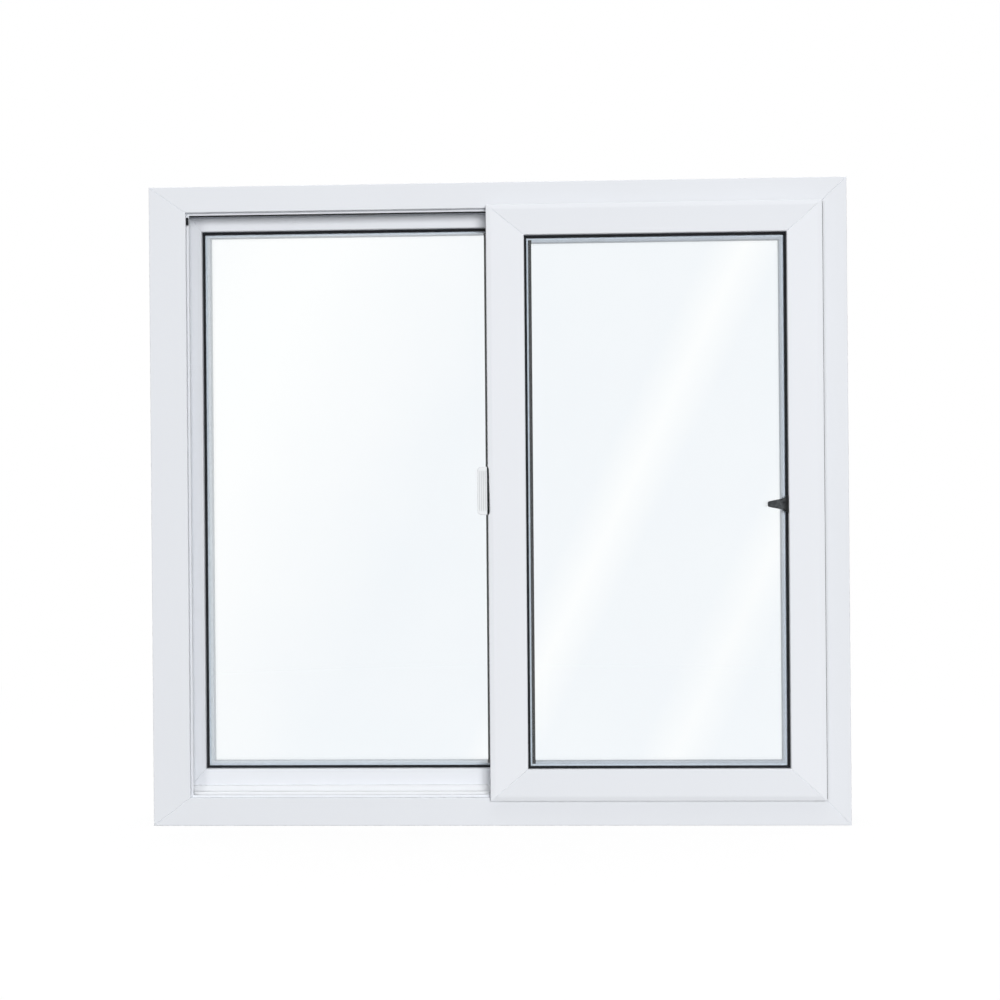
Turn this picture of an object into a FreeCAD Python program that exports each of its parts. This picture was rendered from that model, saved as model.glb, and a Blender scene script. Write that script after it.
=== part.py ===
import FreeCAD, Part
import os
from math import sin, tan

# Horizontal sliding window, in millimetres.
# X runs along the width, Y from the room side (-Y) to the outside (+Y), Z up.
# The origin is on the sill's underside, at mid-width and mid-depth of the outer frame.

# Outer frame
frame_width = 1200.0
frame_height = 1106.0
frame_depth = 104.0
left_jamb_face = 64.0
right_jamb_face = 47.3
head_face = 44.6
sill_face = 48.0
profile_wall = 3.0
narrowest_chamber = 12.0
rear_chambers = 2
frame_edge_radius = 1.5
frame_lip_radius = 1.8
ledge_setback = 9.0
ledge_width = 3.5
ledge_radius = 0.8
lip_depth = 12.0
guide_channel_width = 10.0
guide_channel_depth = 8.0
rib_width = 4.0
seat_depth = 8.0
fixing_channel_width = 20.0
fixing_channel_depth = 3.0
fixing_channel_spacing = 48.0
weld_groove_width = 1.4
weld_groove_depth = 0.8

# Drain slots in the sill's outer face
drain_length = 28.0
drain_height = 5.0
drain_rise = 12.0
drain_inset = 220.0

# Sill track
track_setback = 15.0
track_end_gap = 1.5
shelf_height = 14.3
shelf_lead = 8.0
front_rib_width = 4.0
front_rib_height = 1.8
rail_width = 4.0
rail_height = 6.5
rail_setback = 25.0
front_gutter_height = 0.8
rear_gutter_height = 2.0
track_edge_radius = 0.8

# Sliding sash
meeting_edge_x = -15.5
sash_overlap = 4.3
sash_meeting_face = 65.0
sash_closing_face = 60.8
sash_top_face = 53.0
sash_bottom_face = 55.0
sash_depth = 52.0
flange_thickness = 7.0
flange_gap = 5.0
lip_clearance = 6.0
track_clearance = 5.0
sash_slope_width = 8.0
sash_slope_drop = 2.0
sash_crest_radius = 14.0
sash_edge_radius = 2.0
sash_leg = 9.0

# Fixed light
light_gap = 6.0
light_stile_face = 24.6
light_top_face = 32.8
light_bottom_face = 27.9
light_meeting_face = 53.9
light_meeting_edge_x = 44.0
light_depth = 54.0
light_leg = 9.0

# Glazing, the same in both lights
rebate = 15.0
leg_bevel = 1.2
edge_cover = 10.0
pane_thickness = 4.0
pane_space = 16.0
front_gasket_thickness = 3.0
rear_gasket_thickness = 2.0
gasket_grip = 6.0
gasket_lip = 4.2
rear_gasket_lip = 2.0
spacer_height = 4.5
spacer_reach = 11.4
bead_bevel = 4.0

# Finger pull on the meeting stile
pull_height = 82.5
pull_reach = 18.5
pull_thickness = 8.0
pull_gap = 3.0
pull_corner_radius = 7.0
pull_edge_radius = 1.2
pull_centre_z = 575.5
pull_grooves = 4
pull_groove_width = 1.4
pull_groove_depth = 1.4
pull_groove_pitch = 3.4
notch_margin = 1.0
notch_top_depth = 2.0
notch_bottom_depth = 3.8
notch_slant = 5.0

# Latch on the closing stile
latch_centre_z = 548.7
latch_setback = 1.0
latch_base_height = 30.0
latch_base_thickness = 4.0
latch_base_gap = 0.3
latch_base_radius = 3.0
lever_length = 31.5
lever_root_height = 21.0
lever_tip_height = 12.0
lever_tip_radius = 3.0
lever_depth = 6.0
lever_edge_radius = 1.2

# Rollers and guides
wheel_tread_radius = 8.0
wheel_flange_radius = 10.0
wheel_width = 10.0
wheel_groove_side = 0.5
wheel_running_gap = 0.3
wheel_bore_gap = 0.05
axle_radius = 2.0
carriage_length = 64.0
carriage_plate = 2.0
carriage_side_gap = 1.0
carriage_drop = 8.0
pocket_side_gap = 1.0
roller_inset = 115.0
guide_length = 40.0
guide_width = 14.0
guide_fin_side_gap = 2.0
guide_fin_height = 4.0
guide_running_gap = 0.3
guide_inset = 90.0

# Seals
interlock_width = 20.0
interlock_gap = 0.3
interlock_inset = 14.0
interlock_radius = 1.5
seal_width = 5.0
seal_edge = 0.5
seal_gap = 0.3
pile_drop = 3.0
pile_end_gap = 1.0

Vector = FreeCAD.Vector
SIDES = ("left", "right", "bottom", "top")
FLAT = 1e-6


def shrink(box, faces):
    """The box inside another one, with its own margin on each side."""
    left, right, bottom, top = box
    return (left + faces[0], right - faces[1], bottom + faces[2], top - faces[3])


def grow(box, margin):
    """The box outside another one, with one margin all round."""
    return shrink(box, (-margin,) * 4)


# Places that follow from the sizes above; a box is (left, right, bottom, top)
frame_box = (-frame_width / 2, frame_width / 2, 0.0, frame_height)
frame_faces = (left_jamb_face, right_jamb_face, sill_face, head_face)
frame_opening = shrink(frame_box, frame_faces)
ledge_faces = tuple(face + ledge_width for face in frame_faces)
frame_front = -frame_depth / 2
frame_back = frame_depth / 2
rib_front = lip_depth + guide_channel_width
rib_back = rib_front + rib_width
guide_y = frame_front + lip_depth + guide_channel_width / 2

sash_box = (meeting_edge_x,) + grow(frame_opening, sash_overlap)[1:]
sash_faces = (sash_meeting_face, sash_closing_face, sash_bottom_face, sash_top_face)
sash_sight = shrink(sash_box, sash_faces)
sash_front = frame_front - flange_gap - flange_thickness
flange_back = sash_front + flange_thickness
sash_back = sash_front + sash_depth
flange_width = sash_overlap + lip_clearance

track_floor = frame_opening[2]
shelf_top = track_floor + shelf_height
rail_y = frame_front + rail_setback
rail_top = track_floor + rail_height
sash_body_bottom = shelf_top + track_clearance

light_box = (frame_opening[0] - seat_depth, light_meeting_edge_x, shelf_top, frame_opening[3] + seat_depth)
light_faces = (light_stile_face, light_meeting_face, light_bottom_face, light_top_face)
light_sight = shrink(light_box, light_faces)
light_front = sash_back + light_gap
light_back = light_front + light_depth

notch_low = pull_centre_z - pull_height / 2 - notch_margin
notch_high = pull_centre_z + pull_height / 2 + notch_margin

roller_places = (sash_box[0] + roller_inset, sash_box[1] - roller_inset)
wheel_z = rail_top + wheel_running_gap + wheel_tread_radius
carriage_half_inside = wheel_width / 2 + carriage_side_gap
carriage_half_outside = carriage_half_inside + carriage_plate
carriage_top = wheel_z + wheel_flange_radius + carriage_side_gap + carriage_plate


def rounded_wire(points, place):
    """A closed outline; a third number on a point rounds that corner with an arc."""
    corners = [place(point[0], point[1]) for point in points]
    count = len(corners)
    pieces, starts, ends = [], [], []
    for i, point in enumerate(points):
        corner = corners[i]
        radius = point[2] if len(point) > 2 else 0.0
        before = (corners[i - 1] - corner).normalize()
        after = (corners[(i + 1) % count] - corner).normalize()
        half = before.getAngle(after) / 2
        reach = radius / tan(half)
        starts.append(corner + before * reach)
        ends.append(corner + after * reach)
        middle = corner + (before + after).normalize() * (radius / sin(half) - radius)
        pieces.append(Part.Arc(starts[i], middle, ends[i]).toShape() if radius else None)
    chain = []
    for i in range(count):
        if pieces[i]:
            chain.append(pieces[i])
        chain.append(Part.makeLine(ends[i], starts[(i + 1) % count]))
    return Part.Wire(chain)


def prism(points, place, run):
    """A rounded outline carried along a straight run."""
    return Part.Face(rounded_wire(points, place)).extrude(run)


def block(low, high):
    """A block from its lowest to its highest corner."""
    size = Vector(*high) - Vector(*low)
    return Part.makeBox(size.x, size.y, size.z, Vector(*low))


def slab(box, low_y, high_y):
    """A block that fills a box in the window's plane, between two depths."""
    left, right, bottom, top = box
    return block((left, low_y, bottom), (right, high_y, top))


def ring(outer, inner, low_y, high_y):
    """A rectangular ring between two boxes in the window's plane."""
    return slab(outer, low_y, high_y).cut(slab(inner, low_y, high_y))


def side_corners(side, box):
    """The two corners of a box that one of its sides runs between."""
    left, right, bottom, top = box
    return {
        "left": ((left, bottom), (left, top)),
        "right": ((right, bottom), (right, top)),
        "bottom": ((left, bottom), (right, bottom)),
        "top": ((left, top), (right, top)),
    }[side]


def mitre_block(side, box, faces, low_y, high_y):
    """The space that one member may fill, cut at its ends along the corner diagonals."""
    outer = side_corners(side, box)
    inner = side_corners(side, shrink(box, faces))
    path = [outer[0], outer[1], inner[1], inner[0], outer[0]]
    face = Part.Face(Part.makePolygon([Vector(x, low_y, z) for x, z in path]))
    return face.extrude(Vector(0, high_y - low_y, 0))


def weld_grooves(side, box, faces, front):
    """The fine V grooves that are left on the front face along both of a member's mitres."""
    outer = side_corners(side, box)
    inner = side_corners(side, shrink(box, faces))
    grooves = []
    for (x0, z0), (x1, z1) in zip(outer, inner):
        start = Vector(x0, front, z0)
        along = Vector(x1 - x0, 0, z1 - z0)
        across = along.cross(Vector(0, 1, 0)).normalize() * (weld_groove_width / 2)
        bottom = start + Vector(0, weld_groove_depth, 0)
        edge = Part.makePolygon([start - across, start + across, bottom, start - across])
        grooves.append(Part.Face(edge).extrude(along))
    return grooves


def member(side, box, faces, front, depth, section, chambers=()):
    """A mitred bar on one side of a box, drawn as (distance in from the edge, depth)."""
    left, right, bottom, top = box
    place = {
        "left": lambda inward, back: Vector(left + inward, front + back, bottom),
        "right": lambda inward, back: Vector(right - inward, front + back, bottom),
        "bottom": lambda inward, back: Vector(left, front + back, bottom + inward),
        "top": lambda inward, back: Vector(left, front + back, top - inward),
    }[side]
    upright = side in ("left", "right")
    run = Vector(0, 0, top - bottom) if upright else Vector(right - left, 0, 0)
    bar = prism(section, place, run)
    for low, high, near, far in chambers:
        bar = bar.cut(prism([(low, near), (high, near), (high, far), (low, far)], place, run))
    return bar.common(mitre_block(side, box, faces, front, front + depth))


def welded_member(side, box, faces, front, depth, section, chambers):
    """A mitred bar with its weld grooves."""
    bar = member(side, box, faces, front, depth, section, chambers)
    return bar.cut(weld_grooves(side, box, faces, front))


def save(shape, node):
    """Writes one piece as a single solid."""
    shape.removeSplitter().Solids[0].exportStep("parts/" + node + ".step")


def lip_edge(face):
    """The front lip of the frame's inner edge, with a narrow ledge set back behind it."""
    ledge = face + ledge_width
    return [
        (face, 0, frame_lip_radius), (face, ledge_setback),
        (ledge, ledge_setback, ledge_radius), (ledge, lip_depth),
    ]


def jamb_edge(face):
    """The inner edge of head and jambs: lip, guide channel, rib and the fixed light's seat."""
    return lip_edge(face) + [
        (face - guide_channel_depth, lip_depth), (face - guide_channel_depth, rib_front),
        (face, rib_front), (face, rib_back),
        (face - seat_depth, rib_back), (face - seat_depth, frame_depth, frame_edge_radius),
    ]


def sill_edge(face):
    """The inner edge of the sill: lip and a flat top, which carries the track."""
    return lip_edge(face) + [(face, lip_depth), (face, frame_depth, frame_edge_radius)]


def frame_section(inner_edge):
    """The frame's profile: an inner edge and two shallow fixing channels along the outside."""
    outer_edge = []
    for offset in (fixing_channel_spacing / 2, -fixing_channel_spacing / 2):
        far = frame_depth / 2 + offset + fixing_channel_width / 2
        near = far - fixing_channel_width
        outer_edge += [(0, far), (fixing_channel_depth, far), (fixing_channel_depth, near), (0, near)]
    return [(0, 0, frame_edge_radius)] + inner_edge + [(0, frame_depth, frame_edge_radius)] + outer_edge


def frame_chambers(front_wall, rear_wall):
    """Hollow chambers, one behind the other, inside the walls before and behind the rib."""
    low = fixing_channel_depth + profile_wall
    near = rib_back + profile_wall
    pitch = (frame_depth - near - profile_wall) / rear_chambers
    chambers = [(low, front_wall - profile_wall, profile_wall, near)]
    for i in range(rear_chambers):
        start = near + i * pitch
        chambers.append((low, rear_wall - profile_wall, start + profile_wall, start + pitch))
    return chambers


def drain_slots():
    """Two slots through the sill's outer wall, near its ends."""
    slots = []
    for x in (frame_box[0] + drain_inset, frame_box[1] - drain_inset):
        low = (x - drain_length / 2, frame_back - profile_wall, drain_rise)
        high = (x + drain_length / 2, frame_back, drain_rise + drain_height)
        slots.append(block(low, high))
    return slots


def make_frame():
    """Four mitred members of the outer frame."""
    names = ("frame_left_jamb", "frame_right_jamb", "frame_sill", "frame_head")
    for side, face, name in zip(SIDES, frame_faces, names):
        if side == "bottom":
            section = frame_section(sill_edge(face))
            chambers = frame_chambers(face, face)
        else:
            section = frame_section(jamb_edge(face))
            chambers = frame_chambers(face - guide_channel_depth, face - seat_depth)
        bar = welded_member(side, frame_box, ledge_faces, frame_front, frame_depth, section, chambers)
        if side == "bottom":
            bar = bar.cut(drain_slots())
        save(bar, name)


def make_track():
    """The sill insert: a front rib, the running rail and a shelf that carries the fixed light.

    Its ends are notched round the jambs' ribs, and the shelf runs on to their seats.
    """
    front = frame_front + track_setback
    front_rib_back = front + front_rib_width
    front_rib_top = track_floor + front_rib_height
    shelf_front = light_front - shelf_lead
    rail_front = rail_y - rail_width / 2
    rail_back = rail_y + rail_width / 2
    front_gutter = track_floor + front_gutter_height
    rear_gutter = track_floor + rear_gutter_height
    outline = [
        (front, track_floor), (front, front_rib_top, track_edge_radius),
        (front_rib_back, front_rib_top), (front_rib_back, front_gutter),
        (rail_front, front_gutter), (rail_front, rail_top, track_edge_radius),
        (rail_back, rail_top, track_edge_radius), (rail_back, rear_gutter),
        (shelf_front, rear_gutter), (shelf_front, shelf_top, track_edge_radius),
        (light_back, shelf_top), (light_back, track_floor),
    ]
    left = frame_opening[0] - seat_depth + track_end_gap
    right = frame_opening[1] + seat_depth - track_end_gap
    track = prism(outline, lambda y, z: Vector(left, y, z), Vector(right - left, 0, 0))
    for low, high in ((left, frame_opening[0] + track_end_gap), (frame_opening[1] - track_end_gap, right)):
        track = track.cut(block((low, front, track_floor), (high, shelf_front, shelf_top)))
    save(track, "sill_track")


def leg_edge(face, leg, depth):
    """The inner edge of a glazing profile: bevelled leg in front and the rebate behind it."""
    return [
        (face - leg_bevel, 0), (face, leg_bevel), (face, leg),
        (face - rebate, leg), (face - rebate, depth),
    ]


def sash_section(face, start):
    """The sash's profile: a flange with a sloped outer edge in front of the body."""
    slope = [(0, sash_slope_drop, sash_edge_radius), (sash_slope_width, 0, sash_crest_radius)]
    rear = [(start, sash_depth), (start, flange_thickness), (0, flange_thickness)]
    return slope + leg_edge(face, sash_leg, sash_depth) + rear


def light_section(face):
    """The fixed light's profile."""
    return [(0, 0)] + leg_edge(face, light_leg, light_depth) + [(0, light_depth)]


def body_chamber(face, start, depth):
    """One hollow chamber in the thick part of a glazing profile, where there is room for it."""
    low = start + profile_wall
    high = face - rebate - profile_wall
    if high - low < narrowest_chamber:
        return []
    return [(low, high, profile_wall, depth - profile_wall)]


def pull_notch():
    """The notch beside the finger pull: slanted at its ends and deeper towards the bottom."""
    edge = sash_box[0]
    outside = edge - notch_margin
    outline = [(outside, notch_low), (edge, notch_low), (edge + notch_bottom_depth, notch_low + notch_slant),
               (edge + notch_top_depth, notch_high - notch_slant), (edge, notch_high), (outside, notch_high)]
    return prism(outline, lambda x, z: Vector(x, sash_front, z), Vector(0, flange_thickness, 0))


def make_sash():
    """Four mitred members of the sliding sash, hollow, with pockets for the rollers."""
    names = ("sash_meeting_stile", "sash_closing_stile", "sash_bottom_rail", "sash_top_rail")
    under = block((sash_box[0], flange_back, sash_box[2]), (sash_box[1], sash_back, sash_body_bottom))
    half_width = carriage_half_outside + pocket_side_gap
    half_length = carriage_length / 2 + pocket_side_gap
    for side, face, name in zip(SIDES, sash_faces, names):
        start = sash_body_bottom - sash_box[2] if side == "bottom" else flange_width
        bar = welded_member(side, sash_box, sash_faces, sash_front, sash_depth,
                            sash_section(face, start), body_chamber(face, start, sash_depth))
        if side != "top":
            bar = bar.cut(under)
        if side == "left":
            bar = bar.cut(pull_notch())
        if side == "bottom":
            for x in roller_places:
                bar = bar.cut(block((x - half_length, rail_y - half_width, sash_body_bottom),
                                    (x + half_length, rail_y + half_width, carriage_top)))
        save(bar, name)


def make_light():
    """Four mitred members of the fixed light and the interlock strip on its meeting stile."""
    names = ("fixed_left_stile", "fixed_meeting_stile", "fixed_bottom_rail", "fixed_top_rail")
    for side, face, name in zip(SIDES, light_faces, names):
        bar = welded_member(side, light_box, light_faces, light_front, light_depth,
                            light_section(face), body_chamber(face, 0.0, light_depth))
        save(bar, name)
    right = light_box[1] - interlock_inset
    left = right - interlock_width
    front = sash_back + interlock_gap
    outline = [(left, front, interlock_radius), (right, front, interlock_radius),
               (right, light_front), (left, light_front)]
    height = Vector(0, 0, light_box[3] - light_box[2])
    save(prism(outline, lambda x, y: Vector(x, y, light_box[2]), height), "interlock_strip")


def make_glazing(light, sight, leg_back, back):
    """Gaskets, double glazing and beads of one light, from its sight line and its leg's rear."""
    pane_front = leg_back + front_gasket_thickness
    space_front = pane_front + pane_thickness
    space_back = space_front + pane_space
    pane_back = space_back + pane_thickness
    bead_front = pane_back + rear_gasket_thickness
    unit = grow(sight, edge_cover)
    grip = grow(sight, gasket_grip)
    spacer_inner = grow(sight, -spacer_reach)
    spacer_outer = grow(spacer_inner, spacer_height)
    save(ring(grip, grow(sight, -gasket_lip), leg_back, pane_front), light + "_front_gasket")
    save(slab(unit, pane_front, space_front), light + "_front_pane")
    save(ring(unit, spacer_outer, space_front, space_back), light + "_edge_sealant")
    save(ring(spacer_outer, spacer_inner, space_front, space_back), light + "_spacer_bar")
    save(slab(unit, space_back, pane_back), light + "_rear_pane")
    save(ring(grip, grow(sight, -rear_gasket_lip), pane_back, bead_front), light + "_rear_gasket")
    thickness = back - bead_front
    section = [(0, 0), (rebate, 0), (rebate, thickness - bead_bevel),
               (rebate - bead_bevel, thickness), (0, thickness)]
    for side in SIDES:
        bead = member(side, grow(sight, rebate), (rebate,) * 4, bead_front, thickness, section)
        save(bead, light + "_bead_" + side)


def make_sash_seal():
    """The seal behind the sash's flange, on the three sides that lap the frame."""
    outer = grow(sash_box, -seal_edge)
    back = frame_front - seal_gap
    full = ring(outer, grow(outer, -seal_width), flange_back, back)
    meeting_side = block((sash_box[0], flange_back, sash_box[2]),
                         (sash_box[0] + flange_width, back, sash_box[3]))
    save(full.cut(meeting_side), "sash_flange_seal")


def make_pile_strip():
    """The pile strip under the head's rib, over the top of the sash."""
    low = (frame_opening[0] + pile_end_gap, frame_front + rib_front, frame_opening[3] - pile_drop)
    high = (frame_opening[1] - pile_end_gap, frame_front + rib_back, frame_opening[3])
    save(block(low, high), "head_pile_strip")


def round_rim(plate, seat_x, radius):
    """Rounds the front and rear rims of a plate, apart from the edges on its seat."""
    rim = [edge for edge in plate.Edges
           if edge.BoundBox.YLength < FLAT and edge.BoundBox.XMin < seat_x - FLAT]
    return plate.makeFillet(radius, rim)


def make_pull():
    """A flat finger pull with rounded free corners and fine grooves, and the liner behind the notch."""
    root = sash_box[0] + flange_width
    tip = sash_box[0] - pull_reach
    front = flange_back + pull_gap
    low = pull_centre_z - pull_height / 2
    high = pull_centre_z + pull_height / 2
    outline = [(root, low), (root, high), (tip, high, pull_corner_radius), (tip, low, pull_corner_radius)]
    plate = prism(outline, lambda x, z: Vector(x, front, z), Vector(0, pull_thickness, 0))
    plate = round_rim(plate, root, pull_edge_radius)
    half = pull_groove_width / 2
    for i in range(pull_grooves):
        x = tip + (i + 1) * pull_groove_pitch
        plate = plate.cut(block((x - half, front, low + pull_corner_radius),
                                (x + half, front + pull_groove_depth, high - pull_corner_radius)))
    save(plate, "finger_pull")
    save(block((sash_box[0], flange_back, notch_low), (root, front, notch_high)), "pull_liner")


def make_latch():
    """A latch base on the closing stile's inner edge and a tapered lever over the glass."""
    seat = sash_sight[1]
    base_left = seat - latch_base_thickness
    front = sash_front + latch_setback
    depth = sash_leg - latch_setback - latch_base_gap
    place = lambda x, z: Vector(x, front, latch_centre_z + z)
    half = latch_base_height / 2
    outline = [(seat, -half), (seat, half),
               (base_left, half, latch_base_radius), (base_left, -half, latch_base_radius)]
    save(prism(outline, place, Vector(0, depth, 0)), "latch_base")
    tip = base_left - lever_length
    root_half = lever_root_height / 2
    tip_half = lever_tip_height / 2
    outline = [(base_left, -root_half), (base_left, root_half),
               (tip, tip_half, lever_tip_radius), (tip, -tip_half, lever_tip_radius)]
    lever = prism(outline, place, Vector(0, lever_depth, 0))
    save(round_rim(lever, base_left, lever_edge_radius), "latch_lever")


def make_rollers():
    """Two roller carriages in the sash's bottom rail, each with a grooved wheel on the running rail."""
    half_groove = rail_width / 2 + wheel_groove_side
    half_wheel = wheel_width / 2
    bore = axle_radius + wheel_bore_gap
    half_length = carriage_length / 2
    low = sash_body_bottom - carriage_drop
    outline = [
        (-half_wheel, bore), (half_wheel, bore), (half_wheel, wheel_flange_radius),
        (half_groove, wheel_flange_radius), (half_groove, wheel_tread_radius),
        (-half_groove, wheel_tread_radius), (-half_groove, wheel_flange_radius),
        (-half_wheel, wheel_flange_radius),
    ]
    for x, end in zip(roller_places, ("left", "right")):
        wire = rounded_wire(outline, lambda y, radius: Vector(x, rail_y + y, wheel_z + radius))
        wheel = Part.Face(wire).revolve(Vector(x, rail_y, wheel_z), Vector(0, 1, 0), 360)
        save(wheel, "roller_wheel_" + end)
        shell = block((x - half_length, rail_y - carriage_half_outside, low),
                      (x + half_length, rail_y + carriage_half_outside, carriage_top))
        inside = block((x - half_length, rail_y - carriage_half_inside, low),
                       (x + half_length, rail_y + carriage_half_inside, carriage_top - carriage_plate))
        axle = Part.makeCylinder(axle_radius, 2 * carriage_half_outside,
                                 Vector(x, rail_y - carriage_half_outside, wheel_z), Vector(0, 1, 0))
        save(shell.cut(inside).fuse(axle), "roller_carriage_" + end)


def make_guides():
    """Two blocks on the sash's top rail whose fins run in the head's guide channel."""
    seat = sash_box[3] - flange_width
    top = frame_opening[3] - ledge_width - guide_running_gap
    half_fin = guide_channel_width / 2 - guide_fin_side_gap
    half_length = guide_length / 2
    half_width = guide_width / 2
    for x, end in ((sash_box[0] + guide_inset, "left"), (sash_box[1] - guide_inset, "right")):
        foot = block((x - half_length, guide_y - half_width, seat),
                     (x + half_length, guide_y + half_width, top))
        fin = block((x - half_length, guide_y - half_fin, top),
                    (x + half_length, guide_y + half_fin, frame_opening[3] + guide_fin_height))
        save(foot.fuse(fin), "top_guide_" + end)


os.makedirs("parts", exist_ok=True)
make_frame()
make_track()
make_light()
make_sash()
make_glazing("fixed", light_sight, light_front + light_leg, light_back)
make_glazing("sash", sash_sight, sash_front + sash_leg, sash_back)
make_sash_seal()
make_pile_strip()
make_pull()
make_latch()
make_rollers()
make_guides()
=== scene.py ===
from itertools import product
from math import cos, pi, radians, sin

import bpy
import numpy as np
from bpy.props import FloatProperty, FloatVectorProperty, IntProperty, PointerProperty
from bpy.types import Operator, Panel, PropertyGroup
from mathutils import Matrix, Vector


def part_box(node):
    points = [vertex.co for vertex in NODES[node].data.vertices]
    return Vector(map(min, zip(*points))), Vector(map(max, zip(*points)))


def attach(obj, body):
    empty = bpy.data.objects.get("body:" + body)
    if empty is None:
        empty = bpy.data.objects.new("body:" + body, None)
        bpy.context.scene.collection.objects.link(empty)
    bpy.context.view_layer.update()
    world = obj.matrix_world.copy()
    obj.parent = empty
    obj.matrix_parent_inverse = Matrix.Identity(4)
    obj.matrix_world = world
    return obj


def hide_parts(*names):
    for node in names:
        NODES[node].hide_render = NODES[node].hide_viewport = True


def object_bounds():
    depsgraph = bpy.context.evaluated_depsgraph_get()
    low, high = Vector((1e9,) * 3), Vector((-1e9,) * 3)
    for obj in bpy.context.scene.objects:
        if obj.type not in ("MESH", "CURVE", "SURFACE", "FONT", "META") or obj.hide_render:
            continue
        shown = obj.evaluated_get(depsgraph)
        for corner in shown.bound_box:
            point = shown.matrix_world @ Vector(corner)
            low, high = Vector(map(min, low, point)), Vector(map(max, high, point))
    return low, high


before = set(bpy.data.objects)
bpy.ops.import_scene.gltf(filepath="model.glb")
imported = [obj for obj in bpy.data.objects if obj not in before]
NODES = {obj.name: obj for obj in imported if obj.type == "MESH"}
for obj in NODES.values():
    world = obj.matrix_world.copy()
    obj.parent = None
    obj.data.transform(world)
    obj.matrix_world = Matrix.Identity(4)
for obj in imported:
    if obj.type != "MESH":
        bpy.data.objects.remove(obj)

bl_info = {
    "name": "Sliding window finishes",
    "version": (1, 0, 0),
    "blender": (4, 5, 0),
    "location": "3D View > Sidebar > Window",
    "description": "Plastic, rubber, metal and glass finishes for a horizontal sliding window",
    "category": "Object",
}

CAD_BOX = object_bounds()
BODY = "root"
LIGHTS = ("fixed", "sash")
STILES = {"fixed": {"left": "left", "right": "meeting"}, "sash": {"left": "meeting", "right": "closing"}}
UPRIGHT_WORDS = ("jamb", "stile", "bead_left", "bead_right")
MM = 0.001
JOIN_DISTANCE = 0.001 * MM

# Which way an inset moves the left, right, bottom and top sides
SIDE_SIGNS = np.array([1.0, -1.0, 1.0, -1.0])[:, None, None]

# Points along the curves of the new pieces
CORNER_STEPS = 5
LIP_STEPS = 13
BAR_STEPS = 25
LEVER_STEPS = 33
COLUMN_STEPS = 41
PAD_RINGS = 17
PAD_POINTS = 32
LEVER_POINTS = 40
WEDGE_POINTS = 24
SHADOW_STRIP_POINTS = 16
FLOOR_STEPS = 9

# Width of the camera's sensor in millimetres
SENSOR_WIDTH = 36.0

# Powers of sine and cosine for a superellipse with exponent 4 and for the nearly square corners of the
# black pad that paints the shade in the jamb's groove, and the digits kept before the pad's power is taken
SUPERELLIPSE = 1 / 2
PAD_POWER = 1 / 5
POLE_DIGITS = 9

# Edges that stay sharp are those where faces meet at more than this
WELD_EDGE = radians(30)
BAR_EDGE = radians(40)
LIP_EDGE = radians(50)

# Grain, relief and sheen of the finishes
PLASTIC_SHINE = 0.35
PLASTIC_SHEEN_RANGE = 0.03
CLOUD_SCALE = 3.0
CLOUD_DETAIL = 3.0
LINE_STRETCH = 1.5
MOULDED_SHEEN_RANGE = 0.06
MOULDED_DETAIL = 4.0
MOULDED_GRAIN_ROUGHNESS = 0.6
DULL_SHINE = 0.2
RUBBER_GRAIN = 6 * MM
RUBBER_RELIEF = 0.05 * MM
PULL_GRAIN_SCALE = 120.0
PULL_SHEEN = (0.32, 0.42)
ROLLED_SCALE = 220.0
ROLLED_DETAIL = 3.0
ROLLED_SHADE = 0.10
ROLLED_SHEEN = (0.30, 0.42)
BARE_METAL = 0.4
BARE_SHINE = 0.5
GLASS_IOR = 1.5
# Painted reflection: noise in the streaks of the glass's tint
REFLECTION_NOISE_SCALE = 6.0
REFLECTION_NOISE_SHARE = 0.3
FLOOR_ROUGHNESS = 0.9

# Heights and depths in the sky's direction between which its brighter parts come up
OVERHEAD = (0.8, 1.0)
BEHIND = (0.0, 0.4)


# Settings

class ProfileSettings(PropertyGroup):
    """White plastic of the frame, the sash, the fixed light and the track."""
    white: FloatVectorProperty(
        name="White", description="Colour of the plastic profiles", subtype="COLOR",
        default=(0.800, 0.822, 0.862))
    # Painted light: a paler copy of the white for the sash's stiles, standing in for the brighter light
    # that they catch
    lit_stile_white: FloatVectorProperty(
        name="Stile white", description="Colour of the sash's stiles", subtype="COLOR",
        default=(0.832, 0.853, 0.893))
    track_white: FloatVectorProperty(
        name="Track white", description="Colour of the sill track", subtype="COLOR",
        default=(0.835, 0.850, 0.875))
    unevenness: FloatProperty(
        name="Unevenness", description="How much darker the cloudy patches are", subtype="FACTOR",
        default=0.018, min=0.0, max=1.0)
    roughness: FloatProperty(
        name="Roughness", description="Satin finish of the plastic", subtype="FACTOR",
        default=0.34, min=0.0, max=1.0)
    line_pitch: FloatProperty(
        name="Die line pitch", description="Usual distance between extrusion lines", unit="LENGTH",
        default=4 * MM)
    line_depth: FloatProperty(
        name="Die line depth", description="Depth of the extrusion lines", unit="LENGTH",
        default=0.03 * MM)
    weld_gap: FloatProperty(
        name="Weld gap", description="Share by which a corner's weld is smaller than its pocket",
        subtype="FACTOR", default=0.02, min=0.0, max=1.0)


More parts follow.
